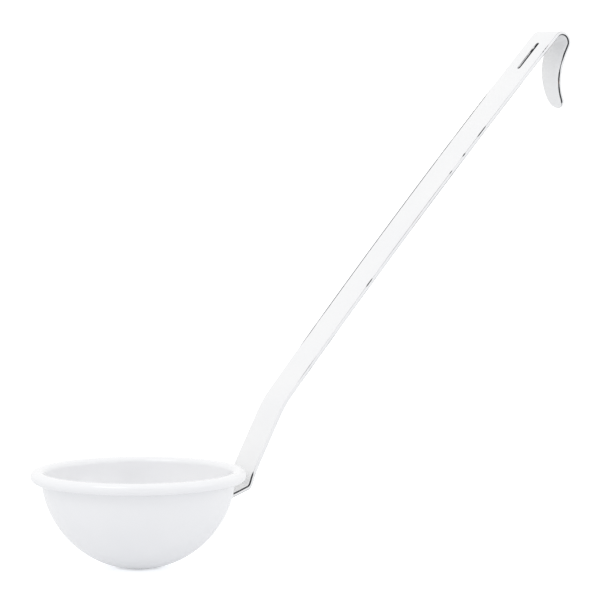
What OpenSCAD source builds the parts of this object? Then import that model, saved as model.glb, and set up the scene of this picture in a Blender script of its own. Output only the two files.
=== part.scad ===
// Soup ladle in white enamelled steel.
// A pressed round bowl with a rolled rim, and one flat strip that is bent into the
// handle: foot, tab, neck, shank and hook. The foot is spot welded under the rim.
// The origin is the centre of the flat that the bowl stands on. +Z is up, and the
// handle leaves along +X. The XZ plane is the plane of symmetry.

/* [Bowl] */
// Outer diameter of the round body below the rim
bowl_d = 90.2; // [80:0.2:110]
// Height from the flat to the top of the rim
bowl_h = 45.5; // [40:0.5:50]
// Thickness of the sheet with its enamel
wall = 1.5; // [1:0.1:2]
// Diameter of the small flat that the bowl stands on
base_d = 12; // [6:0.5:24]
// Width of the rolled rim, from the inside of the wall outward
bead_w = 6.4; // [5.6:0.1:9]
// Height of the rolled rim
bead_h = 5.3; // [4.6:0.1:5.5]
// Gap between the end of the roll and the wall under it
roll_gap = 0.3; // [0.2:0.05:0.5]

/* [Strip] */
// Thickness of the strip with its enamel
strip_t = 1.9; // [1.4:0.1:2.4]
// Width of the strip at the foot
foot_w = 18.1; // [12:0.1:24]
// Width of the strip at the top of the shank
top_w = 19.2; // [16:0.1:28]
// Thickness that a bend takes off each face of the strip
bend_thinning = 0.02; // [0.01:0.01:0.05]

/* [Foot and welds] */
// Length of the foot that lies against the bowl
foot_len = 20; // [16:0.5:26]
// Thickness that pressing the foot to the round wall takes off the strip
foot_thinning = 0.1; // [0.05:0.05:0.2]
// Inside radius with which the dish of the foot runs out below the heel
root_r = 15; // [12:1:20]
// Depth below the rim's middle where the strip leaves the wall
tab_drop = 14.1; // [11:0.1:18]
// Space between foot and wall that the welds fill
weld_gap = 0.2; // [0.1:0.05:0.3]
// Diameter of a spot weld
weld_d = 4.5; // [3:0.1:6]
// Distance between the two spot welds, along the wall
weld_pitch = 8; // [6.5:0.1:9]

/* [Bends from the foot to the shank] */
// Inside radius of the bend where the strip leaves the wall
heel_r = 2.2; // [1.5:0.1:4]
// Angle at which the tab rises outward
tab_rise = 20; // [10:1:30]
// Straight length of the tab between its bends
tab_len = 10; // [8:0.1:16]
// Inside radius of the corner that turns the tab up
corner_r = 2.2; // [1:0.1:4]
// Angle of that corner
corner_turn = 51; // [45:0.5:60]
// Straight length just above the corner
riser_len = 2.2; // [1:0.1:6]
// Inside radius of the easy bend above the riser
neck_r = 43; // [20:1:80]
// Angle of that easy bend
neck_turn = 9.4; // [6:0.1:14]
// Straight length of the neck
neck_len = 26; // [15:0.1:40]
// Inside radius of the bend between neck and shank
kink_r = 48; // [20:1:90]
// Angle between neck and shank
kink_turn = 13.2; // [8:0.1:20]
// Length of the shank
shank_len = 232.4; // [160:0.1:280]
// Radius of the shank's slight bow
bow_r = 4120; // [3000:10:9000]

/* [Hook] */
// Inside radius of the curl at the top
curl_r = 3.7; // [3:0.1:8]
// Angle that the curl turns through
curl_turn = 152; // [148:1:155]
// Straight length of the tongue below the curl
tongue_len = 8.6; // [3:0.1:12]
// Inside radius of the outward flare
flare_r = 24.7; // [15:0.1:50]
// Angle of the flare
flare_turn = 42.6; // [30:0.1:55]
// Straight length at the tip
tip_len = 5; // [3:0.1:10]
// Width of the tongue below its shoulders
tongue_w = 16.2; // [12:0.1:20]
// Height over which the shoulders narrow to the tongue
shoulder_h = 8.4; // [4:0.1:12]
// Radius of the rounded tip
tip_r = 5.8; // [4:0.1:6]

/* [Hanging slot] */
// Length of the slot, end to end
slot_len = 17.6; // [10:0.1:60]
// Width of the slot
slot_w = 2; // [1.6:0.1:10]
// Distance from the curl down to the upper end of the slot
slot_drop = 5.8; // [2:0.1:30]

/* [Hidden] */
$fn = 128;
// The shank's great bow is a part of a circle with this many facets
bow_facets = 3600;
// Steps in which the hook's shoulders narrow
shoulder_steps = 8;
// How far a cut runs past what it cuts
overrun = 3;
// How far a step of the strip that keeps its thickness runs on into its neighbours,
// and the hook's outline into the shank's
lap = 0.05;
enamel = "#f3f4f5";
weld_metal = "#8b8d90";

// The bowl's round body
bowl_r = bowl_d / 2;
inner_r = bowl_r - wall;
ball_z = sqrt(pow(bowl_r, 2) - pow(base_d / 2, 2));
// The rolled rim: two rounds side by side, around a hollow core
bead_z = bowl_h - bead_h / 2;
bead_in = sqrt(pow(inner_r, 2) - pow(ball_z - bead_z, 2));
bead_out = bead_in + bead_w;
bead_r = bead_h / 2;
core_r = bead_r - wall;

// The strip leaves the wall at this angle below the ball's middle
foot_r = bowl_r + weld_gap;
leave_angle = asin((ball_z - bead_z + tab_drop) / foot_r);
foot_angle = foot_len / foot_r * 180 / PI;
foot_z = ball_z - foot_r * sin(leave_angle + foot_angle);
// The root of the strip curves into the foot until the foot covers it at its sides
dish = foot_r - sqrt(pow(foot_r, 2) - pow(foot_w / 2, 2));
root_len = sqrt(2 * (dish + foot_thinning) / (1 / root_r - 1 / foot_r));

// The path of the strip's upper face. A step is [straight length, turn, radius, thinning].
// A turn to the left is positive, and the radius is the upper face's before it thins.
foot_path = [
    [0, root_len / root_r * 180 / PI, root_r, 0],
    [0, leave_angle + tab_rise - 90, heel_r + strip_t, bend_thinning]
];
shank_path = [
    [tab_len, 0, 0, 0],
    [0, corner_turn, corner_r, bend_thinning],
    [riser_len, 0, 0, 0],
    [0, -neck_turn, neck_r + strip_t, bend_thinning],
    [neck_len, 0, 0, 0],
    [0, -kink_turn, kink_r + strip_t, bend_thinning],
    [0, -shank_len / bow_r * 180 / PI, bow_r, 0]
];
hook_path = [
    [0, -curl_turn, curl_r + strip_t, bend_thinning],
    [tongue_len, 0, 0, 0],
    [0, flare_turn, flare_r, bend_thinning],
    [tip_len + overrun, 0, 0, 0]
];
path = concat(foot_path, shank_path, hook_path);
tab_step = len(foot_path);
curl_step = tab_step + len(shank_path);
// A pose on the path is [x, z, heading]
wall_pose = [foot_r * cos(leave_angle), ball_z - foot_r * sin(leave_angle), 90 - leave_angle];
root_pose = back(wall_pose, path[0]);
tab_pose = pose(tab_step);
curl_pose = pose(curl_step);
tip_pose = advance(pose(len(path) - 1), [tip_len, 0, 0]);
// The middle of the slot
slot_pose = back(curl_pose, [0, -(slot_drop + slot_len / 2) / bow_r * 180 / PI, bow_r]);
// The height of the curl's middle, where the round inside has its axis
curl_z = curl_pose[1] - path[curl_step][2] * cos(curl_pose[2]);
crown_z = curl_z + path[curl_step][2];
// Here, between shank and tongue, the outline passes from the top view to the front view
hook_x = curl_pose[0] + strip_t;
// The tongue's sides run straight from its shoulders to where they touch the round tip
shoulder_z = curl_z - shoulder_h;
tip_steep = -sin(tip_pose[2]);
shoulder = [tongue_w / 2, (shoulder_z - tip_pose[1]) / tip_steep - tip_r];
touch_angle = atan2(shoulder[1], shoulder[0]) - acos(tip_r / norm(shoulder));
touch_y = tip_r * cos(touch_angle);
touch_drop = tip_r + tip_r * sin(touch_angle);
touch_z = tip_pose[1] + touch_drop * tip_steep;
// Half planes that cut a bend out of a ring reach this far
reach = shank_len + overrun;
// The welds lie on one line down the middle of the foot
weld_angle = leave_angle + foot_angle / 2;
weld_step = weld_pitch / foot_r * 180 / PI;

// The pose at the end of a step that starts at a pose
function advance(p, s) =
    s[1] == 0
        ? [p[0] + s[0] * cos(p[2]), p[1] + s[0] * sin(p[2]), p[2]]
        : arc(p, s[1], sign(s[1]) * s[2]);
// The pose at the start of a bend that ends at a pose
function back(p, s) = arc(p, -s[1], sign(s[1]) * s[2]);
// The pose after a turn about a centre at a distance to the left
function arc(p, turn, left) =
    let (h = p[2] + turn)
    [p[0] + left * (sin(h) - sin(p[2])), p[1] + left * (cos(p[2]) - cos(h)), h];
// The pose at the start of a step of the path
function pose(i) = i == 0 ? root_pose : advance(pose(i - 1), path[i - 1]);

// Moves its children from the start of a step to its end
module follow(s) {
    left = sign(s[1]) * s[2];
    translate([s[0], left]) rotate(s[1]) translate([0, -left]) children();
}

// Side view of one step that starts at the origin along +X: a straight bar or a bend
module strip_step(s) {
    run_on = s[3] == 0 ? lap : 0;
    if (s[1] == 0) {
        translate([-run_on, -strip_t]) square([s[0] + 2 * run_on, strip_t]);
    } else {
        outer = s[1] > 0 ? s[2] + strip_t : s[2];
        facets = s[2] == bow_r ? bow_facets : $fn;
        intersection() {
            translate([0, sign(s[1]) * s[2]]) difference() {
                circle(outer - s[3], $fn = facets);
                circle(outer - strip_t + s[3], $fn = facets);
            }
            translate([-run_on, -reach]) square([reach, 2 * reach]);
            follow(s) translate([run_on - reach, -reach]) square([reach, 2 * reach]);
        }
    }
}

// Side view of the strip from a step onward, drawn from the start of that step
module strip_from(i) {
    strip_step(path[i]);
    if (i < len(path) - 1) follow(path[i]) strip_from(i + 1);
}

// Top view of the strip as far as the start of the curl: it widens up the shank
module strip_plan() {
    side = [[0, foot_w / 2], [tab_pose[0], foot_w / 2], [curl_pose[0], top_w / 2], [hook_x, top_w / 2]];
    polygon(mirrored(side));
}

// Front view of the hook: full width over the curl, then shoulders and tapered tongue
module hook_front() {
    low_z = tip_pose[1] - overrun;
    low_y = touch_y - (touch_z - low_z) * (tongue_w / 2 - touch_y) / (shoulder_z - touch_z);
    mirror([1, -1]) polygon(mirrored([
        [low_z, low_y],
        for (i = [0:shoulder_steps])
            let (share = i / shoulder_steps, ease = (1 - cos(180 * share)) / 2)
            [shoulder_z + shoulder_h * share, tongue_w / 2 + (top_w - tongue_w) / 2 * ease],
        [crown_z + overrun, top_w / 2]
    ]));
}

// What lies past the round tip, cut square through the strip
module tip_cut() {
    translate([tip_pose[0], 0, tip_pose[1]]) rotate([0, -tip_pose[2], 0])
        translate([0, 0, -strip_t - overrun]) linear_extrude(height = strip_t + 2 * overrun)
            difference() {
                translate([-touch_drop, -top_w / 2]) square([touch_drop + 2 * overrun, top_w]);
                translate([-tip_r, 0]) circle(tip_r);
            }
}

// An outline from its one side
function mirrored(side) = concat(side, [for (i = [len(side) - 1:-1:0]) [side[i][0], -side[i][1]]]);

// The hanging slot, cut square through the strip
module slot_cut() {
    half = (slot_len - slot_w) / 2;
    translate([slot_pose[0], 0, slot_pose[1]]) rotate([0, -slot_pose[2], 0])
        translate([0, 0, -strip_t - overrun]) linear_extrude(height = strip_t + 2 * overrun) {
            for (side = [-1, 1]) translate([side * half, 0]) circle(d = slot_w);
            square([2 * half, slot_w], center = true);
        }
}

// The strip at its full width, bent from the root to the tip
module bent_strip() {
    rotate([90, 0, 0]) linear_extrude(height = top_w + overrun, center = true)
        translate([root_pose[0], root_pose[1]]) rotate(root_pose[2]) strip_from(0);
}

// The strip, cut to its two outlines
module cut_strip() {
    intersection() {
        bent_strip();
        linear_extrude(height = crown_z + overrun) strip_plan();
    }
    difference() {
        intersection() {
            bent_strip();
            translate([hook_x - lap, 0, 0]) rotate([90, 0, 90])
                linear_extrude(height = curl_r + strip_t + flare_r) hook_front();
        }
        tip_cut();
    }
}

// The foot, dished to the round wall, with a round lower end
module foot_dish() {
    intersection() {
        rotate_extrude() translate([0, ball_z]) intersection() {
            difference() {
                circle(foot_r + strip_t - foot_thinning);
                circle(foot_r);
            }
            rotate(-leave_angle) translate([0, -reach]) square(reach);
            rotate(-leave_angle - foot_angle) square(reach);
        }
        rotate([90, 0, 90]) linear_extrude(height = bowl_d) {
            translate([0, foot_z + foot_w / 2]) circle(d = foot_w);
            translate([-foot_w / 2, foot_z + foot_w / 2]) square([foot_w, bowl_h]);
        }
    }
}

module bowl() {
    color(enamel) rotate_extrude() difference() {
        union() {
            // The wall, a round shell with a flat pressed into its bottom
            difference() {
                intersection() {
                    translate([0, ball_z]) circle(bowl_r);
                    square([bowl_r, bead_z]);
                }
                intersection() {
                    translate([0, ball_z]) circle(inner_r);
                    translate([0, wall]) square([bowl_r, bowl_h]);
                }
            }
            rim_round(bead_r);
        }
        rim_round(core_r);
        // The slit between the end of the roll and the wall
        intersection() {
            translate([0, ball_z]) difference() {
                circle(bowl_r + roll_gap);
                circle(bowl_r);
            }
            translate([0, bead_z - bead_h]) square([bead_out, bead_h]);
        }
    }
}

// The rim's section, or its hollow core with a smaller radius
module rim_round(radius) {
    inside = bead_in + bead_r;
    outside = bead_out - bead_r;
    translate([inside, bead_z]) circle(radius);
    translate([outside, bead_z]) circle(radius);
    translate([inside, bead_z - radius]) square([outside - inside, 2 * radius]);
}

module handle() {
    color(enamel) difference() {
        union() {
            difference() {
                cut_strip();
                translate([0, 0, ball_z]) sphere(foot_r);
            }
            foot_dish();
        }
        slot_cut();
    }
}

// One spot weld: the metal between foot and wall, at an angle below the ball's middle
module weld(angle) {
    color(weld_metal) intersection() {
        translate([0, 0, ball_z]) difference() {
            sphere(foot_r);
            sphere(bowl_r);
        }
        translate([0, 0, ball_z]) rotate([0, 90 + angle, 0]) cylinder(h = foot_r + overrun, d = weld_d);
    }
}

module weld_upper() {
    weld(weld_angle - weld_step / 2);
}

module weld_lower() {
    weld(weld_angle + weld_step / 2);
}

bowl();
handle();
weld_upper();
weld_lower();
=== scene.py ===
# %% [markdown]
# # A soup ladle in white enamelled steel
# The ladle is two pieces of sheet steel: a bowl that is pressed round, with its edge
# rolled over, and one long flat strip that is bent into the handle and its hook. Two
# spot welds join them, and white glass enamel is melted over everything. This lesson
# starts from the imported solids, makes a finer bowl and handle in their places, gives
# them their enamel, and lights them like the photograph. All sizes are in metres.

# %% Load the solids
import math

import bpy
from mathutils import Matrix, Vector


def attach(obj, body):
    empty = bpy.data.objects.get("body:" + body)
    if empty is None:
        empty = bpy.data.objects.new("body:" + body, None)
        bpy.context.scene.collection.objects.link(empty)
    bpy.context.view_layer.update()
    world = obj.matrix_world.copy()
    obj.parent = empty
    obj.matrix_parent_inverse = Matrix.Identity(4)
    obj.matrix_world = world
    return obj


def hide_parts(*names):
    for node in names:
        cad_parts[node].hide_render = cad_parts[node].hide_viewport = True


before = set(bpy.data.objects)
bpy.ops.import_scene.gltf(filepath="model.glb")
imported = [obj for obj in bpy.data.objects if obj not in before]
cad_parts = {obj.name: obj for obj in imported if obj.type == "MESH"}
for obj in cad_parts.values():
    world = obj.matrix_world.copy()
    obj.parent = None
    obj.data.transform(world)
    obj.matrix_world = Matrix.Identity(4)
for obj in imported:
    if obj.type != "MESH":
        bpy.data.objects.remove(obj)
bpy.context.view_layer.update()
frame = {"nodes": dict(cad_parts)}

mm = 0.001
print("solids:", ", ".join(frame["nodes"]))

# %% [markdown]
# ## The camera
# The photograph was taken with a long lens from a little above the rim, so that the
# bowl's mouth is a thin ellipse. The camera is made first, because every later look at
# the model goes through it. It has no shift and no depth of field.

# %% Camera
lens_data = bpy.data.cameras.new("camera")
lens_data.sensor_width = 36
lens_data.lens = 191.26
lens_data.clip_start, lens_data.clip_end = 0.05, 50
camera = bpy.data.objects.new("camera", lens_data)
camera.location = (-0.757, -1.256, 0.2462)
camera.rotation_euler = (math.radians(90 - 4.753), 0, math.radians(-34))
bpy.context.scene.collection.objects.link(camera)
bpy.context.scene.camera = camera
print("camera:", [round(v, 3) for v in camera.location], "lens", lens_data.lens)

# %% [markdown]
# ## A pen
# Both pieces start as a line that is drawn from point to point. In Blender that pen is
# a single vertex: a small plane whose corners are merged into one, moved to the start
# and then extruded. A round corner is the same vertex, spun about the corner's middle.

# %% The pen
def start_line(name, at):
    """A new mesh in edit mode with one vertex, which stays selected."""
    bpy.ops.object.select_all(action="DESELECT")
    bpy.ops.mesh.primitive_plane_add(size=mm, location=(0, 0, 0))
    piece = bpy.context.object
    piece.name = piece.data.name = name
    bpy.ops.object.mode_set(mode="EDIT")
    bpy.ops.mesh.select_all(action="SELECT")
    bpy.ops.mesh.merge(type="CENTER")
    bpy.ops.transform.translate(value=at)
    return piece


def line_to(step):
    bpy.ops.mesh.extrude_region_move(TRANSFORM_OT_translate={"value": step})


def arc_to(middle, degrees, steps, axis):
    bpy.ops.mesh.spin(steps=steps, angle=math.radians(degrees), center=middle, axis=axis)


def close_up(piece):
    """Merges doubled points and turns every face outward."""
    bpy.ops.object.mode_set(mode="EDIT")
    bpy.ops.mesh.select_all(action="SELECT")
    bpy.ops.mesh.remove_doubles(threshold=0.004 * mm)
    bpy.ops.mesh.normals_make_consistent(inside=False)
    bpy.ops.object.mode_set(mode="OBJECT")


def tell(piece):
    low = [round(min(v.co[i] for v in piece.data.vertices) / mm, 2) for i in range(3)]
    high = [round(max(v.co[i] for v in piece.data.vertices) / mm, 2) for i in range(3)]
    print(piece.name, len(piece.data.vertices), "points", low, high)


# %% [markdown]
# ## The bowl
# The real bowl is stamped from a round blank and its edge is rolled outward, so every
# section through its middle is the same. It is made as on a lathe: half of the section
# is drawn once, and spun round the upright axis. The section holds what the light
# finds: the small flat below, the wall, the fat rolled rim, and the narrow hollow
# under the rim, where the enamel has run together.

# %% The bowl's section
ball_z, outer_r, inner_r = 44.70 * mm, 45.1 * mm, 43.6 * mm
wall, flat_r = 1.5 * mm, 6 * mm
bead_z, bead_r = 42.85 * mm, 2.65 * mm
bead_inside, bead_outside = 46.21 * mm, 47.31 * mm
run_together = 0.5 * mm


def meet(x0, z0, r0, x1, z1, r1):
    """The left one of two points that lie r0 and r1 from two middles."""
    apart = math.hypot(x1 - x0, z1 - z0)
    along = (apart ** 2 + r0 ** 2 - r1 ** 2) / (2 * apart)
    across = math.sqrt(r0 ** 2 - along ** 2)
    ux, uz = (x1 - x0) / apart, (z1 - z0) / apart
    return x0 + ux * along + uz * across, z0 + uz * along - ux * across


def degrees_at(x, z, mid_x, mid_z):
    return math.degrees(math.atan2(z - mid_z, x - mid_x))


nook_x, nook_z = meet(0, ball_z, outer_r + run_together,
                      bead_inside, bead_z, bead_r + run_together)
nook_wall = degrees_at(0, ball_z, nook_x, nook_z)
nook_bead = degrees_at(bead_inside, bead_z, nook_x, nook_z)
floor_r = math.sqrt(inner_r ** 2 - (ball_z - wall) ** 2)
print("nook at", round(nook_x / mm, 2), round(nook_z / mm, 2),
      "from", round(nook_wall, 1), "to", round(nook_bead, 1), "degrees")

# %% Draw the section and spin it
bowl = start_line("bowl_enamelled", (0, 0, wall))
line_to((floor_r, 0, 0))
around = (0, 1, 0)
inner_low = degrees_at(floor_r, wall, 0, ball_z)
inner_top = degrees_at(bead_inside - bead_r, bead_z, 0, ball_z)
arc_to((0, 0, ball_z), inner_top - inner_low, 48, around)
arc_to((bead_inside, 0, bead_z), -90, 12, around)
line_to((bead_outside - bead_inside, 0, 0))
arc_to((bead_outside, 0, bead_z), -180, 24, around)
line_to((bead_inside - bead_outside, 0, 0))
arc_to((bead_inside, 0, bead_z), nook_bead - 90, 3, around)
arc_to((nook_x, 0, nook_z), nook_wall - nook_bead, 6, around)
outer_low = degrees_at(flat_r, 0, 0, ball_z)
arc_to((0, 0, ball_z), outer_low - nook_wall + 180, 48, around)
line_to((-flat_r, 0, 0))
bpy.ops.mesh.select_all(action="SELECT")
bpy.ops.mesh.spin(steps=160, angle=math.radians(360), center=(0, 0, 0), axis=(0, 0, 1))
close_up(bowl)
bpy.ops.object.shade_smooth_by_angle(angle=math.radians(40))
tell(bowl)

# %% [markdown]
# ## The handle's blank
# The real handle is cut flat from a strip, its slot is punched, its edges are broken,
# and only then is it bent. The same order suits Blender: the outline, the slot and the
# rounded edges are all easy on a flat piece, and every one of them bends along later.
# The blank lies along X, from the round foot at 0 to the round tip of the hook.

# %% The bends, from foot to tip
# Each step is a length in mm and a turn in degrees; a turn to the left is positive.
thickness = 1.9 * mm
foot_ball = 45.3 * mm


def bend(radius, turn):
    return radius * math.radians(abs(turn)), turn


steps = [
    bend(45.3, 25.296), bend(4.1, -49.386),                     # foot and heel
    (10.0, 0), bend(2.2, 51.0), (2.2, 0),                       # tab, corner, riser
    bend(44.9, -9.4), (26.0, 0), bend(49.9, -13.2),             # neck
    bend(4120, -3.232),                                         # shank
    bend(5.6, -152.0), (8.6, 0), bend(24.7, 42.6), (5.0, 0),    # hook
]
start = (31.52 * mm, 12.16 * mm, 44.09)
joints = [0.0]
for length, turn in steps:
    joints.append(joints[-1] + length * mm)
tab, curl, tip = joints[2], joints[9], joints[13]
print("blank:", round(tip / mm, 2), "mm long")


def place(s):
    """Where the blank's upper face ends up: x, z and heading, s metres from the foot."""
    x, z, heading = start
    for (length, turn), begin in zip(steps, joints):
        run = min(max(s - begin, 0), length * mm)
        h0 = math.radians(heading)
        if turn == 0:
            x, z = x + run * math.cos(h0), z + run * math.sin(h0)
        else:
            left = length * mm / math.radians(turn)
            h1 = h0 + run / left
            x += left * (math.sin(h1) - math.sin(h0))
            z += left * (math.cos(h0) - math.cos(h1))
            heading = math.degrees(h1)
    return x, z, heading


for name, s in (("curl", curl), ("tip", tip)):
    print(name, "at", [round(v, 4) for v in place(s)])

# %% The outline of the blank
foot_half, top_half = 9.05 * mm, 9.6 * mm
foot_round = 11.6 * mm
tongue_half, tip_r = 8.1 * mm, 5.8 * mm
shoulder_from, shoulder_to = curl + 13.21 * mm, curl + 21.94 * mm
touch_half, touch_drop = 5.766 * mm, 5.169 * mm
side = [(foot_round * (1 - math.cos(math.radians(t))), foot_half * math.sin(math.radians(t)))
        for t in range(3, 93, 3)]
tab_x, curl_x = place(tab)[0], place(curl)[0]


def half_at(s):
    """Half the strip's width between the tab and the curl, where it widens evenly."""
    return foot_half + (top_half - foot_half) * (place(s)[0] - tab_x) / (curl_x - tab_x)


side += [(s, half_at(s)) for s in joints[2:10]]
for i in range(13):
    ease = (1 + math.cos(math.pi * i / 12)) / 2
    side.append((shoulder_from + (shoulder_to - shoulder_from) * i / 12,
                 tongue_half + (top_half - tongue_half) * ease))
touch_s = tip - touch_drop
fall = place(shoulder_to)[1] - place(touch_s)[1]
for i in range(1, 9):
    s = shoulder_to + (touch_s - shoulder_to) * i / 8
    share = (place(shoulder_to)[1] - place(s)[1]) / fall
    side.append((s, tongue_half + (touch_half - tongue_half) * share))
side += [(tip - tip_r + tip_r * math.sin(math.radians(t)), tip_r * math.cos(math.radians(t)))
         for t in range(10, 90, 5)]
outline = [(0.0, 0.0)] + side + [(tip, 0.0)] + [(s, -w) for s, w in reversed(side)]
print("outline:", len(outline), "points")

# %% Draw the outline, give it its thickness, punch the slot
def flat_piece(name, points, top, depth):
    """A plate with this outline, from top down to depth below it."""
    piece = start_line(name, (points[0][0], points[0][1], top))
    for (s0, w0), (s1, w1) in zip(points, points[1:] + points[:1]):
        line_to((s1 - s0, w1 - w0, 0))
    bpy.ops.mesh.select_all(action="SELECT")
    bpy.ops.mesh.remove_doubles(threshold=0.004 * mm)
    bpy.ops.mesh.edge_face_add()
    bpy.ops.mesh.extrude_region_move(TRANSFORM_OT_translate={"value": (0, 0, -depth)})
    close_up(piece)
    return piece


def finish_with(piece, kind, **values):
    """Adds one modifier and applies it."""
    bpy.ops.object.select_all(action="DESELECT")
    piece.select_set(True)
    bpy.context.view_layer.objects.active = piece
    bpy.ops.object.modifier_add(type=kind)
    tool = piece.modifiers[-1]
    for name, value in values.items():
        setattr(tool, name, value)
    bpy.ops.object.modifier_apply(modifier=tool.name)


handle = flat_piece("handle_enamelled", outline, 0, thickness)
tell(handle)
slot_s, slot_half, slot_r = curl - 14.6 * mm, 7.8 * mm, 1.0 * mm
punch_outline = [(slot_s + sign * (slot_half + slot_r * math.sin(math.radians(t))),
                  sign * slot_r * math.cos(math.radians(t)))
                 for sign in (1, -1) for t in range(0, 181, 12)]
punch = flat_piece("punch", punch_outline, mm, 4 * mm)
finish_with(handle, "BOOLEAN", operation="DIFFERENCE", solver="EXACT", object=punch)
bpy.data.objects.remove(punch)
tell(handle)

# %% [markdown]
# The sheared edges are broken before the enamel goes on, or it would run off them. A
# Bevel that only takes edges sharper than 60 degrees finds both outlines and the slot.

# %% Break the edges
edge_r = 0.6 * mm
finish_with(handle, "BEVEL", width=edge_r, segments=4, limit_method="ANGLE",
            angle_limit=math.radians(60), use_clamp_overlap=False)
tell(handle)

# %% [markdown]
# ## Rows to bend at
# A flat piece bends only where it has points. The blank is cut across with bisect: close
# together where it will bend tightly, and far apart along the shank. A few more rows
# mark where the chips in the shank's enamel begin and end. The foot is also cut
# lengthwise, because it is pressed hollow to lie on the round bowl.

# %% Cut the rows
rows = []
for (length, turn), begin in zip(steps, joints):
    pieces = max(round(abs(turn) / 4.5), round(length / 6), 1)
    rows += [begin + length * mm * i / pieces for i in range(pieces)]
rows += [foot_round * (1 - math.cos(math.radians(t))) for t in (20, 35, 50, 65, 80)]
rows += [slot_s + i * mm for i in range(-8, 9)]
chip_ends = (39.5, 40.5, 148, 149.5, 152.5, 154, 220.5, 221.5, 222.5, 223.5,
             232, 233, 234, 235, 245, 246.5, 251.5, 253)
rows += [s * mm for s in chip_ends]
rows = sorted(s for s in rows if 0.6 * mm < s < tip - 0.8 * mm)
rows = [s for s, before in zip(rows, [0] + rows) if s - before > 0.15 * mm]
bpy.ops.object.mode_set(mode="EDIT")
for s in rows:
    bpy.ops.mesh.select_all(action="SELECT")
    bpy.ops.mesh.bisect(plane_co=(s, 0, 0), plane_no=(1, 0, 0))
bpy.ops.object.mode_set(mode="OBJECT")
print(len(rows), "rows")

# %% Cut the foot lengthwise
pressed_to = 25.5 * mm


def cut_faces(chosen, at, normal):
    """Bisects only the faces whose points all pass the test."""
    points = handle.data.vertices
    for v in points:
        v.select = chosen(v.co)
    for part in list(handle.data.edges) + list(handle.data.polygons):
        part.select = all(points[i].select for i in part.vertices)
    bpy.ops.object.mode_set(mode="EDIT")
    bpy.ops.mesh.bisect(plane_co=at, plane_no=Vector(normal).normalized(), threshold=0.01 * mm)
    bpy.ops.object.mode_set(mode="OBJECT")


for y in range(-8, 9, 2):
    cut_faces(lambda p: p.x < pressed_to + mm, (0, y * mm, 0), (0, 1, 0))
tell(handle)

# %% [markdown]
# Two more sets of cuts are there for the colour alone. One line runs up the shank just
# inside its far edge, to bound a narrow band painted dark as a reflection. The others run
# round inside the slot, to bound its deeper half, which is painted black as its shade.

# %% Cut for the painted reflection and the slot's painted shade
reflection_band = 0.55 * mm
reflection_from, reflection_to = 100 * mm, 285 * mm


hair, whisker = 0.01 * mm, 0.1 * mm     # what counts as no distance, and as beside


def near_slot(p, reach):
    """Whether a point of the blank lies in the slot's outline grown by this reach."""
    return abs(p.y) < slot_r + reach and abs(p.x - slot_s) < slot_half + slot_r + reach


def in_slot(p):
    return near_slot(p, whisker)


# A cut just inside the shank's far edge bounds a band painted dark as a reflection.
low, high = half_at(reflection_from), half_at(reflection_to)
cut_faces(lambda p: p.z > -hair and reflection_from < p.x < reflection_to,
          (reflection_from, low - edge_r - reflection_band, 0), (low - high, reflection_to - reflection_from, 0))
# These cuts bound the deeper half of the slot, which is painted black as its shade.
for depth in (0.70, 0.80, 0.90, 1.00, 1.10, 1.20):
    cut_faces(in_slot, (0, 0, -depth * mm), (0, 0, 1))
tell(handle)

# %% [markdown]
# The blank is still flat, so this is the moment to note, for each point, where it lies
# on the strip. The enamel is thin on the sharp edges, and there the black ground coat
# shows; the same black is painted as shade deep in the slot, and as a reflection in a
# band inside the shank's far edge. Three attributes carry this to the material: "arris"
# is 1 on the middle of a rounded edge and 0 on the flats, and also marks the slot's
# shaded depth and the far band; the next says how thin the enamel is at that place, and
# how strong the painted shade and reflection are; "rust" marks the one chip on the hook
# that has gone down to the steel.

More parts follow.
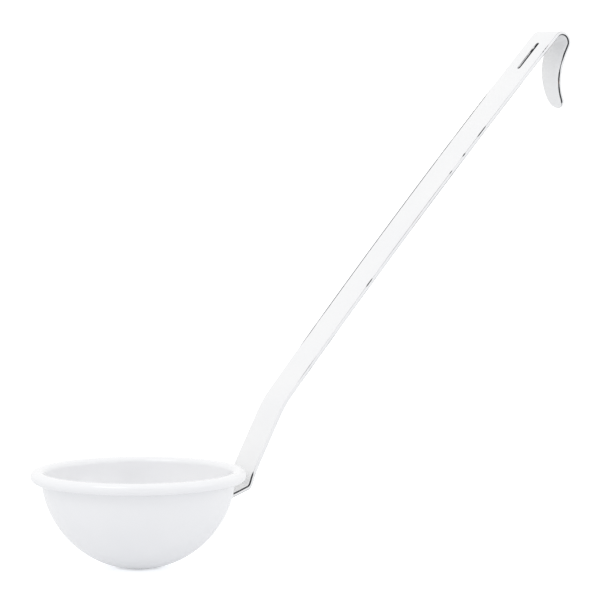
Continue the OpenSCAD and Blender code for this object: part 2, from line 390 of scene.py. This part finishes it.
# %% Note where the enamel is thin and where shade is painted
# Stops for each edge: mm from the foot, and how thin the enamel is there; on the far
# upper edge, from about 110 to 280 mm, they set a painted dark reflection. They are typed by
# hand, going along each edge in the photograph and comparing with a render.
wear_and_reflection_stops = {
    ("near", "upper"): [
        (0, 0.05), (23, 0.1), (25.5, 1.7), (38, 1.7), (40, 1.0), (41.5, 0.12), (47, 0.06),
        (88, 0.1),
        (93, 0.24), (101, 0.28), (106, 0.12), (110, 0.2), (114, 0.12), (148, 0.18), (149.5, 0.7),
        (152.5, 0.7), (154, 0.15), (180, 0.25), (215, 0.22), (220.5, 0.18), (221.5, 0.45),
        (222.5, 0.45), (223.5, 0.1), (232, 0.16), (233, 0.6), (234, 0.6), (235, 0.16), (245, 0.2),
        (246.5, 0.62), (251.5, 0.62), (253, 0.2), (268, 0.14), (292, 0.12), (302.4, 0.18),
        (303.4, 0.5), (304.3, 0.2), (305.2, 0.5), (306.2, 0.2), (307, 0.5), (308, 0.15),
        (318, 0.2), (322, 0.05), (354, 0.03), (357, 0.4), (400, 0.05)],
    ("near", "lower"): [
        (0, 0.05), (25, 0.4), (38, 0.4), (40, 0.55), (42, 0.55), (46, 0.25), (52, 0.25), (88, 0.25),
        (94, 0.45), (100, 0.58), (106, 0.4), (112, 0.62), (119, 0.62), (124, 0.3), (142, 0.45),
        (148, 0.55), (160, 0.45), (180, 0.45), (184, 0.68), (228, 0.68), (232, 0.48), (262, 0.45),
        (274, 0.55), (282, 0.55), (286, 0.3), (298, 0.4), (303, 0.6), (312, 0.45), (315, 0.65),
        (317, 1.0), (319, 1.5), (330, 1.5), (334, 1.1), (337, 0.85), (340, 0.45), (342, 0.55),
        (343.5, 1.1), (346, 1.1), (348, 0.75), (350, 1.0), (352, 1.3), (358, 1.3), (359, 0.2),
        (400, 0.05)],
    # The far upper edge's high values, about 110 to 280 mm, paint a dark reflection.
    ("far", "upper"): [
        (0, 0.05), (43, 0.5), (50, 0.35), (88, 0.3), (94, 0.6), (97, 0.05), (108, 0.3), (113, 0.75),
        (118, 0.95), (124, 0.75), (130, 1.0), (140, 1.1), (200, 1.1), (216, 1.05), (230, 0.9),
        (246, 0.95), (262, 1.0), (270, 0.98), (276, 0.55), (284, 0.1), (400, 0.05)],
    ("far", "lower"): [(0, 0.05), (400, 0.05)],
}
# Stops for the slot: mm from its upper end, and the depth in mm at which its painted shade begins.
slot_shade_stops = [(0, 0.35), (1.6, 0.5), (2.2, 0.85), (3.6, 0.85), (4.2, 0.3), (5.4, 0.3), (6.2, 0.8),
              (12.8, 0.8), (13.4, 0.85), (15.8, 0.85), (16.6, 0.65), (17.6, 0.6)]
# Where the enamel has chipped to the steel and the steel has rusted.
rusty_from, rusty_to, rustiness = 346.9 * mm, 349.1 * mm, 0.8


def along(stops, at):
    """The value at one place on straight lines through the stops."""
    for (s0, v0), (s1, v1) in zip(stops, stops[1:]):
        if at <= s1:
            return v0 + (v1 - v0) * max(at - s0, 0) / (s1 - s0)
    return stops[-1][1]


def enamel_at(p):
    """How far round the edge a point of the blank lies, and how thin the enamel is."""
    depth = -p.z
    edge = min(depth, thickness - depth)
    turned = math.degrees(math.acos(1 - min(max(edge / edge_r, 0), 1)))
    arris = 1 - abs(turned - 45) / 45
    # Deep in the slot its walls are painted black below a given depth, as painted shade.
    if in_slot(p):
        shade_from = along(slot_shade_stops, (slot_s + slot_half + slot_r - p.x) / mm) * mm
        return min(max((depth - shade_from) / whisker + 0.5, 0), 1), 1.15
    if near_slot(p, edge_r + whisker):
        return arris, 0.3 if p.y < 0 else 0.05
    side, face = "near" if p.y < 0 else "far", "upper" if depth < thickness / 2 else "lower"
    wear_and_painted_dark = along(wear_and_reflection_stops[side, face], p.x / mm)
    # Along the shank a narrow band just inside the far edge is painted dark as a reflection.
    far_flat = edge < hair and (side, face) == ("far", "upper")
    if far_flat and reflection_from + mm < p.x < reflection_to - mm and p.y > half_at(p.x) - edge_r - whisker:
        arris = 0.6
    return arris, wear_and_painted_dark


arris = handle.data.attributes.new("arris", "FLOAT", "POINT")
wear_and_painted_dark = handle.data.attributes.new("wear_and_painted_dark", "FLOAT", "POINT")
rust = handle.data.attributes.new("rust", "FLOAT", "POINT")
for i, v in enumerate(handle.data.vertices):
    arris.data[i].value, wear_and_painted_dark.data[i].value = enamel_at(v.co)
    rust.data[i].value = rustiness if rusty_from < v.co.x < rusty_to else 0.0
print("arris points:", sum(a.value > 0.9 for a in arris.data),
      "rusty points:", sum(a.value > 0 for a in rust.data))

# %% [markdown]
# ## Press and bend
# The foot is pressed hollow first. Then the whole blank is bent along a line that runs
# through every bend. The Curve modifier does this as a bending jig would: what lies at
# a distance along X on the blank comes to lie at the same distance along the line.

# %% Press the foot hollow
for v in handle.data.vertices:
    if v.co.x < pressed_to:
        fade = min(max((pressed_to - v.co.x) / (8.5 * mm), 0), 1)
        fade = fade * fade * (3 - 2 * fade)
        v.co.z += fade * (foot_ball - math.sqrt(foot_ball ** 2 - v.co.y ** 2))
tell(handle)

# %% Bend the blank
line = bpy.data.curves.new("bend_line", "CURVE")
line.dimensions = "3D"
line.twist_mode = "MINIMUM"
stops = sorted(set(rows + joints + [s + 0.5 * (t - s) for s, t in zip(rows, rows[1:])]))
spline = line.splines.new("POLY")
spline.points.add(len(stops) - 1)
for point, s in zip(spline.points, stops):
    x, z, heading = place(s)
    point.co = (x, 0, z, 1)
jig = bpy.data.objects.new("jig", line)
bpy.context.scene.collection.objects.link(jig)
flat_points = [v.co.copy() for v in handle.data.vertices]
finish_with(handle, "CURVE", object=jig, deform_axis="POS_X")
worst = 0
for v, flat in zip(handle.data.vertices, flat_points):
    x, z, heading = place(min(max(flat.x, 0), tip))
    h = math.radians(heading)
    true = Vector((x - flat.z * math.sin(h), flat.y, z + flat.z * math.cos(h)))
    worst = max(worst, (v.co - true).length)
print("bent; farthest from the true place:", round(worst / mm, 3), "mm")
tell(handle)
bpy.data.objects.remove(jig)
bpy.ops.object.shade_smooth_by_angle(angle=math.radians(40))
finish_with(handle, "WEIGHTED_NORMAL", keep_sharp=True, weight=80)

# %% [markdown]
# ## Enamel
# Enamel is white glass, a quarter of a millimetre thick. Up close it is never quite
# flat or even: it ripples where it flowed, its white drifts a little between warm and
# cool, and gas leaves a few pinholes. Both pieces have this, so it is one node group
# with named inputs, and each material gives it its own numbers.

# %% Helpers for nodes
def new_group(name, inputs, outputs):
    """A shader group with named sockets; returns the tree, its input and output nodes."""
    tree = bpy.data.node_groups.new(name, "ShaderNodeTree")
    for label, kind, value in inputs:
        socket = tree.interface.new_socket(name=label, in_out="INPUT",
                                           socket_type="NodeSocket" + kind)
        if value is not None:
            socket.default_value = value
    for label, kind in outputs:
        tree.interface.new_socket(name=label, in_out="OUTPUT",
                                  socket_type="NodeSocket" + kind)
    return tree, tree.nodes.new("NodeGroupInput"), tree.nodes.new("NodeGroupOutput")


def add_node(tree, kind, **values):
    """A node with settings by name, and unlinked inputs by their label."""
    node = tree.nodes.new("ShaderNode" + kind)
    for name, value in values.items():
        if hasattr(node, name):
            setattr(node, name, value)
        else:
            node.inputs[name.replace("_", " ")].default_value = value
    return node


def math_node(tree, operation, first, second=None, third=None, clamp=False):
    """A Math node whose inputs are numbers or other nodes' outputs."""
    node = tree.nodes.new("ShaderNodeMath")
    node.operation, node.use_clamp = operation, clamp
    for socket, value in zip(node.inputs, (first, second, third)):
        if isinstance(value, (int, float)):
            socket.default_value = value
        elif value is not None:
            tree.links.new(value, socket)
    return node.outputs[0]


def blend_colour(tree, share, under, over):
    node = tree.nodes.new("ShaderNodeMix")
    node.data_type = "RGBA"
    for index, value in zip((0, 6, 7), (share, under, over)):
        socket = node.inputs[index]
        if isinstance(value, (int, float, tuple)):
            socket.default_value = value
        else:
            tree.links.new(value, socket)
    return node.outputs[2]


def noise_at(tree, where, scale, detail=2.0):
    node = add_node(tree, "TexNoise", Scale=scale, Detail=detail)
    tree.links.new(where, node.inputs["Vector"])
    return node.outputs[0]


# %% The glaze
glaze, gi, go = new_group("glaze", [
    ("Where", "Vector", None), ("White", "Color", (0.9, 0.9, 0.9, 1)),
    ("Cool White", "Color", (0.85, 0.87, 0.9, 1)), ("Ripple Size", "Float", 110.0),
    ("Pinholes", "Float", 0.5), ("Smoothness", "Float", 0.07),
], [("Color", "Color"), ("Roughness", "Float"), ("Height", "Float")])
flow = add_node(glaze, "TexNoise", Detail=1.5, Roughness=0.4)
glaze.links.new(gi.outputs["Where"], flow.inputs["Vector"])
glaze.links.new(gi.outputs["Ripple Size"], flow.inputs["Scale"])
peel = noise_at(glaze, gi.outputs["Where"], 620, 1)
drift = noise_at(glaze, gi.outputs["Where"], 38, 3)
cells = add_node(glaze, "TexVoronoi", Scale=260)
glaze.links.new(gi.outputs["Where"], cells.inputs["Vector"])
pick = add_node(glaze, "SeparateColor")
glaze.links.new(cells.outputs["Color"], pick.inputs[0])
chosen = math_node(glaze, "GREATER_THAN", pick.outputs[0], 0.955)
away = math_node(glaze, "DIVIDE", cells.outputs["Distance"], 0.06)
near = math_node(glaze, "SUBTRACT", 1.0, away, clamp=True)
dot = math_node(glaze, "MULTIPLY", chosen, near)
hole = math_node(glaze, "MULTIPLY", dot, gi.outputs["Pinholes"])
even = blend_colour(glaze, math_node(glaze, "MULTIPLY_ADD", drift, 2.2, -0.6, clamp=True),
                    gi.outputs["White"], gi.outputs["Cool White"])
glaze.links.new(blend_colour(glaze, hole, even, (0.12, 0.12, 0.13, 1)), go.inputs["Color"])
rough = math_node(glaze, "MULTIPLY_ADD", drift, 0.05, gi.outputs["Smoothness"])
glaze.links.new(rough, go.inputs["Roughness"])
height = math_node(glaze, "ADD", flow.outputs[0], math_node(glaze, "MULTIPLY", peel, 0.12))
height = math_node(glaze, "SUBTRACT", height, math_node(glaze, "MULTIPLY", hole, 0.8))
glaze.links.new(height, go.inputs["Height"])
print("glaze:", len(glaze.nodes), "nodes")

# %% [markdown]
# Where the enamel is thin, the nearly black ground coat shows as a hairline, broken
# here and there, with a touch of rust where it has chipped to the steel. The same group
# paints the slot's shade and the dark reflection along the shank's far edge, and it
# darkens the bowl towards its very bottom, so this is a node group too.

# %% The worn line and painted shade
dark_line_group, wi, wo = new_group("wear_and_painted_dark_line", [
    ("Where", "Vector", None), ("Edge", "Float", 0.0), ("Wear And Painted Dark", "Float", 0.2),
    ("Rusty", "Float", 0.0), ("Broken", "Float", 0.35), ("Softness", "Float", 0.16),
], [("Ground Coat And Painted Dark", "Float"), ("Rust", "Float")])
long_breaks = noise_at(dark_line_group, wi.outputs["Where"], 130, 3)
short_breaks = noise_at(dark_line_group, wi.outputs["Where"], 900, 2)
short_breaks = math_node(dark_line_group, "MULTIPLY", short_breaks, 0.3)
wander = math_node(dark_line_group, "MULTIPLY_ADD", long_breaks, 0.7, short_breaks)
swing = math_node(dark_line_group, "MULTIPLY_ADD", wander, 4.0, -2.0)
swing = math_node(dark_line_group, "MULTIPLY", swing, wi.outputs["Broken"])
reach = math_node(dark_line_group, "MULTIPLY", wi.outputs["Wear And Painted Dark"], math_node(dark_line_group, "ADD", swing, 1.0))
over = math_node(dark_line_group, "SUBTRACT", math_node(dark_line_group, "ADD", wi.outputs["Edge"], reach), 1.0)
gate = math_node(dark_line_group, "MULTIPLY", wi.outputs["Edge"], 8.0, clamp=True)
shown = math_node(dark_line_group, "DIVIDE", over, wi.outputs["Softness"], clamp=True)
shown = math_node(dark_line_group, "MULTIPLY", shown, gate)
dark_line_group.links.new(shown, wo.inputs["Ground Coat And Painted Dark"])
blotch = noise_at(dark_line_group, wi.outputs["Where"], 75, 1)
rusty = math_node(dark_line_group, "MULTIPLY_ADD", blotch, 14.0, -9.4, clamp=True)
rusty = math_node(dark_line_group, "MAXIMUM", rusty, wi.outputs["Rusty"])
rusty = math_node(dark_line_group, "MULTIPLY", rusty, shown)
dark_line_group.links.new(math_node(dark_line_group, "MULTIPLY", rusty, 0.8), wo.inputs["Rust"])
print("worn line:", len(dark_line_group.nodes), "nodes")


# %% [markdown]
# The two enamels use both groups. The shader itself stays in each material: glass over
# white, glossy, with its ripple as a faint bump.

# %% The enamel materials
# The near-black of the ground coat, also used for the painted shade and reflection and for the
# bowl's darker bottom.
ground_coat_and_painted_dark, rust_brown = (0.018, 0.019, 0.023, 1), (0.16, 0.065, 0.025, 1)


def enamel(name, white, cool, ripple, bump, edge_of):
    """White enamel; edge_of(tree) gives the edge, strength and rust inputs of its dark line of worn
    enamel and painted shade.
    """
    material = bpy.data.materials.new(name)
    material.use_nodes = True
    tree = material.node_tree
    shader = tree.nodes["Principled BSDF"]
    shader.inputs["IOR"].default_value = 1.52
    where = add_node(tree, "TexCoord").outputs["Object"]
    coat = tree.nodes.new("ShaderNodeGroup")
    coat.node_tree = glaze
    coat.inputs["White"].default_value = white
    coat.inputs["Cool White"].default_value = cool
    coat.inputs["Ripple Size"].default_value = ripple
    line = tree.nodes.new("ShaderNodeGroup")
    line.node_tree = dark_line_group
    tree.links.new(where, coat.inputs["Where"])
    tree.links.new(where, line.inputs["Where"])
    for label, value in zip(("Edge", "Wear And Painted Dark", "Rusty"), edge_of(tree)):
        if isinstance(value, float):
            line.inputs[label].default_value = value
        else:
            tree.links.new(value, line.inputs[label])
    bare_and_painted_dark = line.outputs["Ground Coat And Painted Dark"]
    dark = blend_colour(tree, line.outputs["Rust"], ground_coat_and_painted_dark, rust_brown)
    tree.links.new(blend_colour(tree, bare_and_painted_dark, coat.outputs["Color"], dark),
                   shader.inputs["Base Color"])
    tree.links.new(math_node(tree, "MULTIPLY_ADD", bare_and_painted_dark, 0.38, coat.outputs["Roughness"]),
                   shader.inputs["Roughness"])
    relief = add_node(tree, "Bump", Strength=bump, Distance=0.4 * mm)
    worn_down = math_node(tree, "MULTIPLY", bare_and_painted_dark, 0.25)
    tree.links.new(math_node(tree, "SUBTRACT", coat.outputs["Height"], worn_down),
                   relief.inputs["Height"])
    tree.links.new(relief.outputs[0], shader.inputs["Normal"])
    return material


def strip_edges(tree):
    return [add_node(tree, "Attribute", attribute_name=name).outputs["Fac"]
            for name in ("arris", "wear_and_painted_dark", "rust")]


def standing_ring(tree):
    """1 on the flat the bowl stands on, fading out 1.1 mm above it: the bowl is darker at its very
    bottom.
    """
    parts = add_node(tree, "SeparateXYZ")
    tree.links.new(add_node(tree, "TexCoord").outputs["Object"], parts.inputs[0])
    # The bowl is painted darker at its very bottom, within 1.1 mm of the floor.
    above = math_node(tree, "DIVIDE", parts.outputs["Z"], 1.1 * mm)
    low = math_node(tree, "SUBTRACT", 1.0, above, clamp=True)
    return low, 0.8, 0.0


handle_coat = enamel("handle_enamel", (0.875, 0.875, 0.873, 1), (0.855, 0.857, 0.864, 1),
                     ripple=120, bump=0.12, edge_of=strip_edges)
bowl_coat = enamel("bowl_enamel", (0.89, 0.89, 0.897, 1), (0.87, 0.872, 0.885, 1),
                   ripple=90, bump=0.2, edge_of=standing_ring)
print(handle_coat.name, bowl_coat.name)

# %% Dress the bowl and the handle
for piece, coat, node, finish in ((bowl, bowl_coat, "bowl", "enamel_bowl"),
                                  (handle, handle_coat, "handle", "enamel_handle")):
    piece.data.materials.clear()
    piece.data.materials.append(coat)
    for face in piece.data.polygons:
        face.material_index = 0
    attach(piece, "root")
    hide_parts(node)
    print(piece.name, "stands for", node)

# %% [markdown]
# ## The spot welds
# The two welds sit between foot and bowl and hardly show. They keep their solids and
# get bare steel, heated to straw around the nugget.

# %% Weld steel
weld_steel = bpy.data.materials.new("weld_steel")
weld_steel.use_nodes = True
tree = weld_steel.node_tree
shader = tree.nodes["Principled BSDF"]
shader.inputs["Metallic"].default_value = 1.0
where = add_node(tree, "TexCoord").outputs["Object"]
heat = math_node(tree, "MULTIPLY_ADD", noise_at(tree, where, 420, 2), 2.4, -0.7, clamp=True)
steel, straw = (0.42, 0.42, 0.43, 1), (0.30, 0.24, 0.17, 1)
tree.links.new(blend_colour(tree, heat, steel, straw), shader.inputs["Base Color"])
tree.links.new(math_node(tree, "MULTIPLY_ADD", heat, 0.2, 0.34), shader.inputs["Roughness"])
grain = add_node(tree, "Bump", Strength=0.4, Distance=0.0001)
tree.links.new(noise_at(tree, where, 2600, 2), grain.inputs["Height"])
tree.links.new(grain.outputs[0], shader.inputs["Normal"])
for node in ("weld_upper", "weld_lower"):
    for place_in in frame["nodes"][node].material_slots:
        place_in.material = weld_steel
print("welds dressed")

# %% [markdown]
# ## Floor and light
# The photograph was taken in a white tent: light from all sides, a floor that burns out
# to white, and hardly a shadow. A white floor that glows a little does this here, under
# a white sky. The sky is a bit dimmer and bluer toward the camera, where the tent is
# open, and the glossy enamel also mirrors a dark shape there, as a person or a camera
# would leave. Two large soft lamps, one from the upper left and a weaker one from the
# right, give the forms their direction.

# %% Floor
bpy.ops.object.select_all(action="DESELECT")
bpy.ops.mesh.primitive_circle_add(vertices=96, radius=6, fill_type="NGON", location=(0, 0, 0))
floor = bpy.context.object
floor.name = floor.data.name = "floor"
paper = bpy.data.materials.new("white_paper")
paper.use_nodes = True
tree = paper.node_tree
shader = tree.nodes["Principled BSDF"]
shader.inputs["Roughness"].default_value = 0.9
shader.inputs["Specular IOR Level"].default_value = 0.1
where = add_node(tree, "TexCoord").outputs["Object"]
greys = (0.50, 0.50, 0.50, 1), (0.53, 0.53, 0.53, 1)
tree.links.new(blend_colour(tree, noise_at(tree, where, 3, 2), *greys),
               shader.inputs["Base Color"])
shader.inputs["Emission Color"].default_value = (0.945, 0.965, 1.0, 1)
seen = add_node(tree, "LightPath").outputs["Is Camera Ray"]
glow, glow_seen = 0.40, 0.30
tree.links.new(math_node(tree, "MULTIPLY_ADD", seen, glow_seen, glow),
               shader.inputs["Emission Strength"])
floor.data.materials.append(paper)

# %% Light
world = bpy.data.worlds.new("white_tent")
world.use_nodes = True
tree = world.node_tree
sky = tree.nodes["Background"]
towards = add_node(tree, "TexCoord").outputs["Generated"]
open_side = add_node(tree, "VectorMath", operation="DOT_PRODUCT")
tree.links.new(towards, open_side.inputs[0])
open_side.inputs[1].default_value = (-0.515, -0.857, 0.0)
dim = math_node(tree, "POWER", math_node(tree, "MAXIMUM", open_side.outputs["Value"], 0.0), 4.0)
white, bluish = (1.0, 1.0, 1.0, 1), (0.935, 0.952, 1.0, 1)
tree.links.new(blend_colour(tree, dim, white, bluish), sky.inputs["Color"])
tent = math_node(tree, "MULTIPLY_ADD", dim, -0.20, 0.985)
path = add_node(tree, "LightPath")
tent = math_node(tree, "MULTIPLY_ADD", path.outputs["Is Camera Ray"], 0.30, tent)
dark_shape = add_node(tree, "VectorMath", operation="DOT_PRODUCT")
tree.links.new(towards, dark_shape.inputs[0])
dark_shape.inputs[1].default_value = (-0.384, -0.921, 0.075)
shape = math_node(tree, "MULTIPLY_ADD", dark_shape.outputs["Value"], 14.0, -12.8, clamp=True)
mirrored = math_node(tree, "MULTIPLY", shape, path.outputs["Is Glossy Ray"])
kept = math_node(tree, "MULTIPLY_ADD", mirrored, -0.85, 1.0)
tree.links.new(math_node(tree, "MULTIPLY", tent, kept), sky.inputs["Strength"])
bpy.context.scene.world = world


def soft_lamp(name, at, towards, size, watts):
    data = bpy.data.lights.new(name, "AREA")
    data.shape, data.size, data.energy = "DISK", size, watts
    lamp = bpy.data.objects.new(name, data)
    lamp.location = at
    lamp.rotation_euler = (Vector(towards) - Vector(at)).to_track_quat("-Z", "Y").to_euler()
    bpy.context.scene.collection.objects.link(lamp)
    return lamp


soft_lamp("soft_upper_left", (-0.9, -0.3, 1.3), towards=(0.1, 0, 0.1), size=0.9, watts=3.3)
soft_lamp("soft_right", (0.8, -0.9, 0.6), towards=(0.05, 0, 0.05), size=0.8, watts=0.9)
bpy.context.scene.view_settings.view_transform = "Standard"
